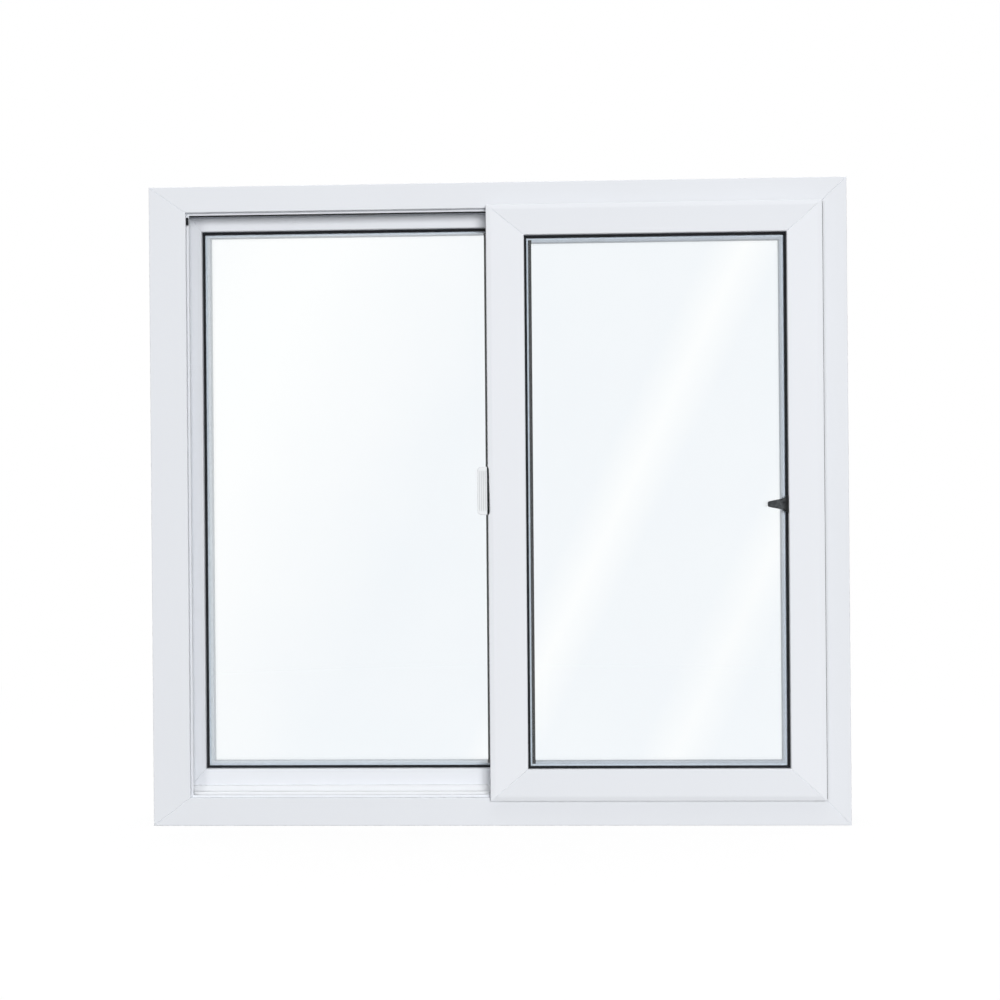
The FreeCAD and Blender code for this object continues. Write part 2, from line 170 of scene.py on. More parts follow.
class SealSettings(PropertyGroup):
    """Black rubber gaskets, the black pad that paints the shade in the jamb's groove, the black strip that
    paints the sash's shadow beside the closing stile, and the pale sealant round the glass.
    """
    rubber: FloatVectorProperty(
        name="Rubber", description="Colour of the gaskets", subtype="COLOR",
        default=(0.006, 0.007, 0.009))
    bloom: FloatVectorProperty(
        name="Bloom", description="Paler bloom on the rubber", subtype="COLOR",
        default=(0.014, 0.015, 0.018))
    roughness: FloatProperty(
        name="Roughness", description="Finish of the rubber", subtype="FACTOR",
        default=0.55, min=0.0, max=1.0)
    flutes: IntProperty(
        name="Flutes", description="Fine flutes along the gasket's lip", default=2, min=0)
    flute_depth: FloatProperty(
        name="Flute depth", description="Depth of the flutes", unit="LENGTH", default=0.12 * MM)
    corner_radius: FloatProperty(
        name="Corner radius", description="Rounding of the gasket's corners", unit="LENGTH",
        default=1.2 * MM)
    lip_start: FloatProperty(
        name="Lip start", description="How far under the profile the lip's curve begins", unit="LENGTH",
        default=1.0 * MM)
    # Painted shade: a black pad where the head shades the left jamb's groove
    pad_size: FloatVectorProperty(
        name="Pad size", description="Width, depth and height of the dust pad", subtype="TRANSLATION",
        default=(3.4 * MM, 7.0 * MM, 12.5 * MM))
    pad_inset: FloatProperty(
        name="Pad inset", description="Distance of the dust pad behind the frame's face", unit="LENGTH",
        default=2.0 * MM)
    pad_drop: FloatProperty(
        name="Pad drop", description="Distance of the dust pad below the head's ledge", unit="LENGTH",
        default=4.5 * MM)
    # Painted shadow: a black strip stands out beside the closing stile where the sash shades the jamb
    shadow_strip_reach: FloatProperty(
        name="Edge reach", description="How far the seal's soft lip stands out beside the closing stile",
        unit="LENGTH", default=1.7 * MM)
    sealant: FloatVectorProperty(
        name="Sealant", description="Colour of the sealant at the glass edges", subtype="COLOR",
        default=(0.70, 0.74, 0.78))


class GlazingSettings(PropertyGroup):
    """Glass panes and the metal spacer between them."""
    clear: FloatVectorProperty(
        name="Clear", description="What the glass lets through where it is clearest", subtype="COLOR",
        default=(0.992, 1.0, 1.0))
    # Painted reflection: the glass's colour runs between this tint and the clear colour in diagonal streaks
    tint: FloatVectorProperty(
        name="Tint", description="What the glass lets through between the pale streaks", subtype="COLOR",
        default=(0.938, 0.959, 0.976))
    reflection_slope: FloatProperty(
        name="Streak slope", description="Slope of the pale streaks from the horizontal", unit="ROTATION",
        default=radians(64))
    reflection_places: FloatVectorProperty(
        name="Streak places", description="Where the pale streaks lie, measured square to them",
        subtype="TRANSLATION", default=(-0.76, -0.05, 0.22))
    reflection_widths: FloatVectorProperty(
        name="Streak widths", description="Distance over which each streak fades to either side",
        subtype="TRANSLATION", default=(0.40, 0.06, 0.06))
    reflection_strengths: FloatVectorProperty(
        name="Streak strengths", description="How clear the glass is along each streak",
        default=(1.0, 0.75, 0.6), min=0.0, max=1.0)
    fixed_spacer: FloatVectorProperty(
        name="Fixed spacer", description="Colour of the fixed light's spacer bar", subtype="COLOR",
        default=(0.66, 0.69, 0.72))
    sash_spacer: FloatVectorProperty(
        name="Sash spacer", description="Colour of the sash's spacer bar", subtype="COLOR",
        default=(0.50, 0.53, 0.57))
    # Painted shade: the spacers are dark beside the meeting stiles, where they lie in the stiles' shade
    spacer_painted_shade: FloatVectorProperty(
        name="Dark spacer", description="Colour of the film on the spacers beside the meeting stiles",
        subtype="COLOR", default=(0.007, 0.008, 0.009))
    fixed_reach: FloatVectorProperty(
        name="Fixed reach", size=4, unit="LENGTH", default=(0.9 * MM, 0.9 * MM, 0.0, -2.4 * MM),
        description="How much further the fixed light's spacer reaches at its left, right, bottom and top")
    sash_reach: FloatVectorProperty(
        name="Sash reach", size=4, unit="LENGTH", default=(0.9 * MM, 0.0, 0.0, 0.0),
        description="How much further the sash's spacer reaches at its left, right, bottom and top")
    # Where the painted shade on the spacers ends, and the length over which it fades into bare metal
    painted_shade_end: FloatProperty(
        name="Film end", description="Where the dark film ends, from the bar's outer edge", unit="LENGTH",
        default=5.6 * MM)
    painted_shade_fade: FloatProperty(
        name="Film fade", description="Length over which the dark film fades into bare metal",
        unit="LENGTH", default=0.8 * MM)
    pane_gap: FloatProperty(
        name="Pane gap", description="Film of sealant between spacer and glass", unit="LENGTH",
        default=0.3 * MM)
    seam_depth: FloatProperty(
        name="Seam depth", description="Depth of the spacer's lengthwise seam", unit="LENGTH",
        default=0.5 * MM)
    seam_width: FloatProperty(
        name="Seam width", description="Half width of that seam", unit="LENGTH", default=0.7 * MM)
    shoulder_drop: FloatProperty(
        name="Shoulder drop", description="How far the spacer's rolled shoulders fall back", unit="LENGTH",
        default=0.8 * MM)
    shoulder_width: FloatProperty(
        name="Shoulder width", description="Length over which the shoulders fall back", unit="LENGTH",
        default=0.5 * MM)
    corner_radius: FloatProperty(
        name="Corner radius", description="Rounding of the spacer's corners", unit="LENGTH",
        default=1.0 * MM)


class FittingSettings(PropertyGroup):
    """Latch, finger pull, rollers and guides."""
    charcoal: FloatVectorProperty(
        name="Charcoal", description="Colour of the latch", subtype="COLOR",
        default=(0.010, 0.012, 0.014))
    charcoal_speck: FloatVectorProperty(
        name="Charcoal speck", description="Paler grain on the latch", subtype="COLOR",
        default=(0.092, 0.099, 0.105))
    grain: FloatProperty(
        name="Grain", description="Size of the latch's moulded grain", unit="LENGTH", default=5.5 * MM)
    # Painted shade on the latch lever towards its root, where it meets its base
    painted_root_shade: FloatProperty(
        name="Root shade", description="How much darker the latch is at its root", subtype="FACTOR",
        default=0.80, min=0.0, max=1.0)
    root_length: FloatProperty(
        name="Root length", description="Length over which the latch grows darker to its root",
        unit="LENGTH", default=7 * MM)
    flare_height: FloatProperty(
        name="Flare height", description="How far the lever widens where it meets its base",
        unit="LENGTH", default=9 * MM)
    flare_length: FloatProperty(
        name="Flare length", description="Length over which the lever widens", unit="LENGTH",
        default=2.6 * MM)
    tip_share: FloatProperty(
        name="Tip share", description="Height of the lever's tip as a share of its root", subtype="FACTOR",
        default=0.42, min=0.0, max=1.0)
    nose_length: FloatProperty(
        name="Nose length", description="Length of the lever's rounded tip", unit="LENGTH",
        default=3.0 * MM)
    nose_share: FloatProperty(
        name="Nose share", description="Height of the rounded tip's end as a share of the tip",
        subtype="FACTOR", default=0.35, min=0.0, max=1.0)
    pull_white: FloatVectorProperty(
        name="Pull white", description="Colour of the finger pull", subtype="COLOR",
        default=(0.86, 0.88, 0.90))
    # Painted shade in the pull's grooves and round its rim
    painted_groove_shade: FloatProperty(
        name="Groove shade", description="How much darker the pull's grooves and rims are",
        subtype="FACTOR", default=0.21, min=0.0, max=1.0)
    groove_depth: FloatProperty(
        name="Groove depth", description="Depth at which that shade is full", unit="LENGTH",
        default=1.0 * MM)
    # Painted shadow: black rubber in the notch beside the pull, for the deep shadow of the slot
    wedge_reach: FloatProperty(
        name="Wedge reach", description="How far the black liner stands out of the sash's edge",
        unit="LENGTH", default=1.4 * MM)
    wedge_top: FloatProperty(
        name="Wedge top", description="How far the liner's upper end runs into the notch", unit="LENGTH",
        default=1.0 * MM)
    wedge_bottom: FloatProperty(
        name="Wedge bottom", description="How far the liner's lower end runs into the notch", unit="LENGTH",
        default=2.0 * MM)
    wedge_end: FloatProperty(
        name="Wedge end", description="Length of the liner's rounded ends", unit="LENGTH",
        default=2.5 * MM)
    guide_grey: FloatVectorProperty(
        name="Guide grey", description="Colour of the guides and the interlock", subtype="COLOR",
        default=(0.62, 0.63, 0.65))
    nylon: FloatVectorProperty(
        name="Nylon", description="Colour of the roller wheels", subtype="COLOR",
        default=(0.50, 0.50, 0.48))
    steel: FloatVectorProperty(
        name="Steel", description="Colour of the roller carriages", subtype="COLOR",
        default=(0.60, 0.62, 0.63))


class StageSettings(PropertyGroup):
    """Camera, surroundings, lamps and floor."""
    camera_place: FloatVectorProperty(
        name="Camera place", description="Where the camera stands", subtype="TRANSLATION",
        default=(0.0930, -2.5581, 0.5596))
    camera_yaw: FloatProperty(
        name="Camera yaw", description="Turn of the camera to the left", unit="ROTATION",
        default=radians(2.017))
    camera_roll: FloatProperty(
        name="Camera roll", description="Lean of the camera", unit="ROTATION",
        default=radians(-0.489))
    lens: FloatProperty(
        name="Lens", description="Focal length in millimetres on a 36 mm sensor", unit="CAMERA",
        default=52.55)
    sky_above: FloatProperty(
        name="Sky above", description="Strength of the even light from overhead", default=2.5)
    sky_round: FloatProperty(
        name="Sky round", description="Strength of the even light from round about", default=0.12)
    sky_behind: FloatProperty(
        name="Sky behind", description="Strength of the even light from behind the window", default=0.85)
    key_place: FloatVectorProperty(
        name="Key place", description="Where the large soft lamp stands, far behind the camera",
        subtype="TRANSLATION", default=(2.13, -9.0, 2.0))
    key_width: FloatProperty(
        name="Key width", description="Width of the large soft lamp", unit="LENGTH", default=3.2)
    key_height: FloatProperty(
        name="Key height", description="Height of the large soft lamp", unit="LENGTH", default=4.0)
    key_power: FloatProperty(
        name="Key power", description="Power of the large soft lamp in watts", unit="POWER",
        default=615.0)
    fill_place: FloatVectorProperty(
        name="Fill place", description="Where the weaker lamp stands, on the left", subtype="TRANSLATION",
        default=(-4.4, -9.0, 2.0))
    fill_width: FloatProperty(
        name="Fill width", description="Width of the weaker lamp", unit="LENGTH", default=2.0)
    fill_height: FloatProperty(
        name="Fill height", description="Height of the weaker lamp", unit="LENGTH", default=3.0)
    fill_power: FloatProperty(
        name="Fill power", description="Power of the weaker lamp in watts", unit="POWER", default=150.0)
    floor_tone: FloatProperty(
        name="Floor tone", description="How pale the floor is under the window", subtype="FACTOR",
        default=0.12, min=0.0, max=1.0)
    floor_glow: FloatProperty(
        name="Floor glow", description="What brings the lit floor up to white", default=0.90)
    floor_fill: FloatProperty(
        name="Floor fill", description="How much of the floor's glow lights the window", subtype="FACTOR",
        default=0.15, min=0.0, max=1.0)
    floor_size: FloatProperty(
        name="Floor size", description="Half the floor's width", unit="LENGTH", default=8.0)
    floor_fade: FloatProperty(
        name="Floor fade", description="Distance at which the floor has faded into the white background",
        unit="LENGTH", default=2.4)


class WindowSettings(PropertyGroup):
    """All settings of the window's finishes."""
    profile: PointerProperty(type=ProfileSettings)
    seal: PointerProperty(type=SealSettings)
    glazing: PointerProperty(type=GlazingSettings)
    fitting: PointerProperty(type=FittingSettings)
    stage: PointerProperty(type=StageSettings)


# Shader helpers

def new_shader(name):
    """A material, its node tree and its Principled shader."""
    material = bpy.data.materials.new(name)
    material.use_nodes = True
    tree = material.node_tree
    return material, tree, tree.nodes["Principled BSDF"]


def add_node(tree, kind, inputs=None, **settings):
    """A node with its settings and the values of its unlinked inputs."""
    node = tree.nodes.new("ShaderNode" + kind)
    for key, value in settings.items():
        setattr(node, key, value)
    for key, value in (inputs or {}).items():
        node.inputs[key].default_value = value
    return node


def place_in_object(tree, scale=(1, 1, 1)):
    """Object coordinates, scaled by a Mapping node."""
    source = add_node(tree, "TexCoord")
    mapping = add_node(tree, "Mapping", {"Scale": scale})
    tree.links.new(source.outputs["Object"], mapping.inputs["Vector"])
    return mapping.outputs["Vector"]


def part_of(tree, vector, axis):
    """One of the three numbers of a vector."""
    split = add_node(tree, "SeparateXYZ")
    tree.links.new(vector, split.inputs["Vector"])
    return split.outputs[axis]


def noise(tree, vector, scale, detail=2.0, roughness=0.5):
    """A noise value from 0 to 1 at a place."""
    node = add_node(tree, "TexNoise", {"Scale": scale, "Detail": detail, "Roughness": roughness})
    tree.links.new(vector, node.inputs["Vector"])
    return node.outputs["Fac"]


def calculate(tree, operation, first, second):
    """One Math node between two values or sockets."""
    node = add_node(tree, "Math", operation=operation)
    for value, socket in zip((first, second), node.inputs):
        if isinstance(value, (int, float)):
            socket.default_value = value
        else:
            tree.links.new(value, socket)
    return node.outputs["Value"]


def spread(tree, value, low, high, start=0.3, end=0.7):
    """A value from start to end carried over to the range from low to high."""
    node = add_node(tree, "MapRange", {"From Min": start, "From Max": end, "To Min": low, "To Max": high})
    tree.links.new(value, node.inputs["Value"])
    return node.outputs["Result"]


def colour_between(tree, value, first, second, start=0.3, end=0.7):
    """A colour that goes from the first to the second as a value goes from start to end."""
    ramp = add_node(tree, "ValToRGB")
    for element, colour, position in zip(ramp.color_ramp.elements, (first, second), (start, end)):
        element.color = (*colour, 1.0)
        element.position = position
    tree.links.new(value, ramp.inputs["Fac"])
    return ramp.outputs["Color"]


def add_bump(tree, shader, height, distance):
    """Relief on a shader from a height of 0 to 1 and its depth."""
    node = add_node(tree, "Bump", {"Distance": distance, "Strength": 1.0})
    tree.links.new(height, node.inputs["Height"])
    tree.links.new(node.outputs["Normal"], shader.inputs["Normal"])


def darker(colour, share):
    """A colour with a share of its light taken away."""
    return tuple(channel * (1.0 - share) for channel in colour)


# Materials

def satin_white(name, colour, settings, upright):
    """Extruded white plastic: cloudy tone, satin sheen and faint die lines along the bar."""
    material, tree, shader = new_shader(name)
    across = 1.0 / settings.line_pitch
    stretch = (across, across, LINE_STRETCH) if upright else (LINE_STRETCH, across, across)
    cloud = noise(tree, place_in_object(tree), CLOUD_SCALE, CLOUD_DETAIL)
    lines = noise(tree, place_in_object(tree, stretch), 1.0)
    tone = colour_between(tree, cloud, darker(colour, settings.unevenness), colour)
    tree.links.new(tone, shader.inputs["Base Color"])
    shader.inputs["Specular IOR Level"].default_value = PLASTIC_SHINE
    roughness = settings.roughness
    sheen = spread(tree, lines, roughness - PLASTIC_SHEEN_RANGE, roughness + PLASTIC_SHEEN_RANGE)
    tree.links.new(sheen, shader.inputs["Roughness"])
    add_bump(tree, shader, lines, settings.line_depth)
    return material


def moulded(name, dark, pale, grain, roughness, relief, metal=0.0, shine=0.5, shade=None):
    """A moulded or rolled finish: two tones and a relief that follow the same fine grain.

    A painted shade (from, to, share) makes it darker by that share from one place along X to another.
    """
    material, tree, shader = new_shader(name)
    shader.inputs["Specular IOR Level"].default_value = shine
    value = noise(tree, place_in_object(tree), 1.0 / grain, MOULDED_DETAIL, MOULDED_GRAIN_ROUGHNESS)
    tone = colour_between(tree, value, dark, pale)
    if shade:
        start, end, share = shade
        light = spread(tree, part_of(tree, place_in_object(tree), "X"), 1.0, 1.0 - share, start, end)
        scaled = add_node(tree, "VectorMath", operation="SCALE")
        tree.links.new(tone, scaled.inputs[0])
        tree.links.new(light, scaled.inputs["Scale"])
        tone = scaled.outputs["Vector"]
    tree.links.new(tone, shader.inputs["Base Color"])
    sheen = spread(tree, value, roughness - MOULDED_SHEEN_RANGE, roughness + MOULDED_SHEEN_RANGE)
    tree.links.new(sheen, shader.inputs["Roughness"])
    shader.inputs["Metallic"].default_value = metal
    add_bump(tree, shader, value, relief)
    return material


def two_tone(name, colour, mottle, **finish):
    """A moulded finish whose darker tone has a share of the colour's light taken away."""
    return moulded(name, darker(colour, mottle), colour, **finish)


def groove_shaded_white(name, colour, shade, front, depth):
    """Moulded white plastic with painted shade: it grows darker behind its front face, in grooves and round
    the rim, where shade falls.
    """
    material, tree, shader = new_shader(name)
    # Painted shade, growing with the depth behind the front face
    behind = spread(tree, part_of(tree, place_in_object(tree), "Y"), 0.0, 1.0, front, front + depth)
    tone = colour_between(tree, behind, colour, darker(colour, shade), 0.0, 1.0)
    tree.links.new(tone, shader.inputs["Base Color"])
    cloud = noise(tree, place_in_object(tree), PULL_GRAIN_SCALE)
    tree.links.new(spread(tree, cloud, *PULL_SHEEN), shader.inputs["Roughness"])
    return material


def rubber(name, settings):
    """Black rubber with a faint pale bloom."""
    return moulded(name, settings.rubber, settings.bloom, RUBBER_GRAIN, settings.roughness, RUBBER_RELIEF,
                   shine=DULL_SHINE)


def spacer_metal(name, colour, dark, shade_from, shade_to):
    """Rolled aluminium with painted shade: a dull dark colour that takes over between two places along X,
    where the spacer lies in shade.
    """
    material, tree, shader = new_shader(name)
    rolled = noise(tree, place_in_object(tree), ROLLED_SCALE, ROLLED_DETAIL)
    metal = colour_between(tree, rolled, darker(colour, ROLLED_SHADE), colour)
    unshaded = spread(tree, part_of(tree, place_in_object(tree), "X"), 0.0, 1.0, shade_from, shade_to)
    mix = add_node(tree, "MixRGB", {"Color1": (*dark, 1.0)})
    tree.links.new(unshaded, mix.inputs["Fac"])
    tree.links.new(metal, mix.inputs["Color2"])
    tree.links.new(mix.outputs["Color"], shader.inputs["Base Color"])
    tree.links.new(calculate(tree, "MULTIPLY", unshaded, BARE_METAL), shader.inputs["Metallic"])
    tree.links.new(calculate(tree, "MULTIPLY", unshaded, BARE_SHINE), shader.inputs["Specular IOR Level"])
    tree.links.new(spread(tree, rolled, *ROLLED_SHEEN), shader.inputs["Roughness"])
    return material


def clear_glass(name, settings):
    """Float glass whose tint has painted reflections as faint diagonal streaks, and which lets lamps
    through to what is behind it.
    """
    material, tree, shader = new_shader(name)
    shader.inputs["Roughness"].default_value = 0.0
    shader.inputs["IOR"].default_value = GLASS_IOR
    shader.inputs["Transmission Weight"].default_value = 1.0
    across = add_node(tree, "VectorMath", operation="DOT_PRODUCT")
    across.inputs[1].default_value = (sin(settings.reflection_slope), 0.0, -cos(settings.reflection_slope))
    tree.links.new(place_in_object(tree), across.inputs[0])
    # Painted reflections: pale diagonal streaks and noise in the glass's tint
    streak = calculate(tree, "MULTIPLY", noise(tree, place_in_object(tree), REFLECTION_NOISE_SCALE),
                       REFLECTION_NOISE_SHARE)
    for place, width, strength in zip(settings.reflection_places, settings.reflection_widths,
                                      settings.reflection_strengths):
        offset = calculate(tree, "SUBTRACT", across.outputs["Value"], place)
        distance = calculate(tree, "ABSOLUTE", offset, 0.0)
        streak = calculate(tree, "ADD", streak, spread(tree, distance, strength, 0.0, 0.0, width))
    tone = colour_between(tree, streak, settings.tint, settings.clear, 0.0, 1.0)
    tree.links.new(tone, shader.inputs["Base Color"])
    path = add_node(tree, "LightPath")
    through = add_node(tree, "BsdfTransparent")
    through.inputs["Color"].default_value = (*settings.tint, 1.0)
    mix = add_node(tree, "MixShader")
    tree.links.new(path.outputs["Is Shadow Ray"], mix.inputs["Fac"])
    tree.links.new(shader.outputs["BSDF"], mix.inputs[1])
    tree.links.new(through.outputs["BSDF"], mix.inputs[2])
    tree.links.new(mix.outputs["Shader"], tree.nodes["Material Output"].inputs["Surface"])
    return material


# Surfaces

def rounded_loop(box, inset, radius):
    """Points round a rectangle in the window's plane, for each row of its four sides' insets.

    Corner k turns about a centre that lies the radius inside both sides, through a quarter circle;
    the point at angle a is that centre plus the radius times (cos a, sin a). The result is an array
    of rows by points by (x, z), and the loop runs against the clock as seen from the room.
    """
    left, right, bottom, top = np.asarray(box)[:, None, None] + (inset + radius).T[..., None] * SIDE_SIGNS
    step = np.linspace(0.0, pi / 2, CORNER_STEPS)
    angle = np.concatenate([step + quarter * pi / 2 for quarter in range(4)])
    at_right = np.repeat([1.0, 0.0, 0.0, 1.0], CORNER_STEPS)
    at_top = np.repeat([1.0, 1.0, 0.0, 0.0], CORNER_STEPS)
    x = left * (1 - at_right) + right * at_right + radius * np.cos(angle)
    z = bottom * (1 - at_top) + top * at_top + radius * np.sin(angle)
    return np.stack([x, z], axis=-1)


def swept_ring(box, inset, depth, radius):
    """A section carried round a rectangle: each of its points gives one loop, at its inset and depth."""
    inset = np.broadcast_to(np.reshape(inset, (len(depth), -1)), (len(depth), 4))
    loop = rounded_loop(box, inset, radius)
    depth = np.broadcast_to(depth[:, None], loop.shape[:2])
    return np.stack([loop[..., 0], depth, loop[..., 1]], axis=-1)


def grid_faces(rows, columns, wrap_rows, wrap_columns):
    """Quads between neighbouring rows and columns of a grid, with either direction closed on itself."""
    row = np.arange(rows if wrap_rows else rows - 1)[:, None]
    column = np.arange(columns if wrap_columns else columns - 1)[None, :]
    next_row, next_column = (row + 1) % rows, (column + 1) % columns
    corners = (row * columns + column, row * columns + next_column,
               next_row * columns + next_column, next_row * columns + column)
    return np.stack(np.broadcast_arrays(*corners), axis=-1).reshape(-1, 4)


def face_outwards(points, faces):
    """The faces of a closed shell, turned round if the volume that they enclose comes out negative.

    The volume is the sum over each face's two triangles of the triple product of its corners.
    """
    a, b, c, d = (points[faces[:, i]] for i in range(4))
    volume = (a * np.cross(b, c)).sum() + (a * np.cross(c, d)).sum()
    return faces if volume > 0 else faces[:, ::-1]


def signed_power(value, exponent):
    """A power of a number's size that keeps its sign, as superellipses use it."""
    return np.sign(value) * np.abs(value) ** exponent


def full_turn(points):
    """A row of evenly spaced angles round a circle."""
    return np.linspace(0.0, 2 * pi, points, endpoint=False)[None, :]


def eased_column(height, end_length):
    """Columns of the heights up an upright piece, closest at its ends, and its section's scale at each.

    The heights follow a half wave of the cosine, and the scale rises along a quarter circle over both ends.
    """
    up = height * (1.0 - np.cos(np.linspace(0.0, pi, COLUMN_STEPS)[:, None])) / 2
    end = np.minimum(np.minimum(up, height - up) / end_length, 1.0)
    return up, np.sqrt(1.0 - (1.0 - end) ** 2)


def make_piece(name, grid, material, wrap_rows=True, wrap_columns=True):
    """A mesh piece from a grid of points, riding on the window's body; points that coincide are joined."""
    rows, columns = grid.shape[:2]
    points = grid.reshape(-1, 3)
    faces = face_outwards(points, grid_faces(rows, columns, wrap_rows, wrap_columns))
    mesh = bpy.data.meshes.new(name)
    mesh.from_pydata(points, [], faces)
    mesh.polygons.foreach_set("use_smooth", np.ones(len(faces), dtype=bool))
    mesh.update()
    mesh.materials.append(material)
    piece = bpy.data.objects.new(name, mesh)
    bpy.context.scene.collection.objects.link(piece)
    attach(piece, BODY)
    piece.modifiers.new("joined points", "WELD").merge_threshold = JOIN_DISTANCE
    return piece


def split_edges(piece, angle):
    """Keeps the edges of a smooth piece sharp where its faces meet at more than an angle."""
    piece.modifiers.new("sharp edges", "EDGE_SPLIT").split_angle = angle


def ring_width(node):
    """How wide the bars of a rectangular ring are, from its outer and its innermost points along X."""
    low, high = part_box(node)
    vertices = NODES[node].data.vertices
    places = np.empty(3 * len(vertices), dtype=np.float32)
    vertices.foreach_get("co", places)
    x = places[::3].astype(float)
    return (high.x - low.x) / 2 - np.abs(x - (low.x + high.x) / 2).min()


def node_rectangle(node):
    """A node's extent in the window's plane as (left, right, bottom, top), and its two depths."""
    low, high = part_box(node)
    return (low.x, high.x, low.z, high.z), low.y, high.y


def dress(names, material):
    """Gives CAD nodes a material."""
    for node in (NODES[name] for name in names):
        if not node.material_slots:
            node.data.materials.append(material)
        for entry in node.material_slots:
            entry.material = material


def settings_of(context):
    """The window's settings on the scene."""
    return context.scene.sliding_window


# Operators

class WINDOW_OT_profiles(Operator):
    """Finish the white profiles of the frame, both lights and their beads, and weld the lights' corners"""
    bl_idname = "sliding_window.profiles"
    bl_label = "White profiles"

    def execute(self, context):
        settings = settings_of(context).profile
        white = [name for name in NODES
                 if name.startswith("frame_") or name.endswith(("_stile", "_rail")) or "_bead_" in name]
        upright = [name for name in white if any(word in name for word in UPRIGHT_WORDS)]
        level = [name for name in white if name not in upright]
        dress(upright, satin_white("satin_white_upright", settings.white, settings, True))
        # Painted light: the sash's stiles get the paler, lit copy of the white
        dress(["sash_meeting_stile", "sash_closing_stile"],
              satin_white("satin_white_stile", settings.lit_stile_white, settings, True))
        plastic = satin_white("satin_white_level", settings.white, settings, False)
        dress(level, plastic)
        dress(["sill_track"], satin_white("track_white", settings.track_white, settings, False))
        for light, height, side in product(LIGHTS, ("bottom", "top"), ("left", "right")):
            grid = self.weld(light, height, side, settings.weld_gap)
            piece = make_piece(f"{light}_weld_{height}_{side}", grid, plastic,
                               wrap_rows=False)
            split_edges(piece, WELD_EDGE)
        return {"FINISHED"}

    def weld(self, light, height, side, gap):
        """A triangular prism that closes a rebate's rear corner, between the mitre and the bead.

        Measured outwards from the sight corner, its corners are (r / k, r), (r, r) and (r, k r), with r the
        bead's width and k the rail's face over the stile's. It is carried along the bead's depth, smaller
        than its pocket by the gap's share, and both ends close in its middle.
        """
        upright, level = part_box(f"{light}_bead_{side}"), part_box(f"{light}_bead_{height}")
        stile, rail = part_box(f"{light}_{STILES[light][side]}_stile"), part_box(f"{light}_{height}_rail")
        at_right, at_top = side == "right", height == "top"
        outwards = np.array([1.0 if at_right else -1.0, 1.0 if at_top else -1.0])
        sight = np.array([upright[not at_right].x, level[not at_top].z])
        stile_face, rail_face = np.abs(np.array([stile[at_right].x, rail[at_top].z]) - sight)
        width = upright[1].x - upright[0].x
        ratio = rail_face / stile_face
        outline = [(width / ratio, width), (width, width), (width, width * ratio)]
        corners = sight + outwards * np.array(outline)
        middle = corners.mean(axis=0)
        near, far = upright[0].y, upright[1].y
        scale = np.array([0.0, 1.0, 1.0, 0.0])[:, None, None] * (1.0 - gap)
        plan = middle + scale * (corners - middle)
        depth = np.broadcast_to(np.array([near, near, far, far])[:, None], plan.shape[:2])
        return np.stack([plan[..., 0], depth, plan[..., 1]], axis=-1)


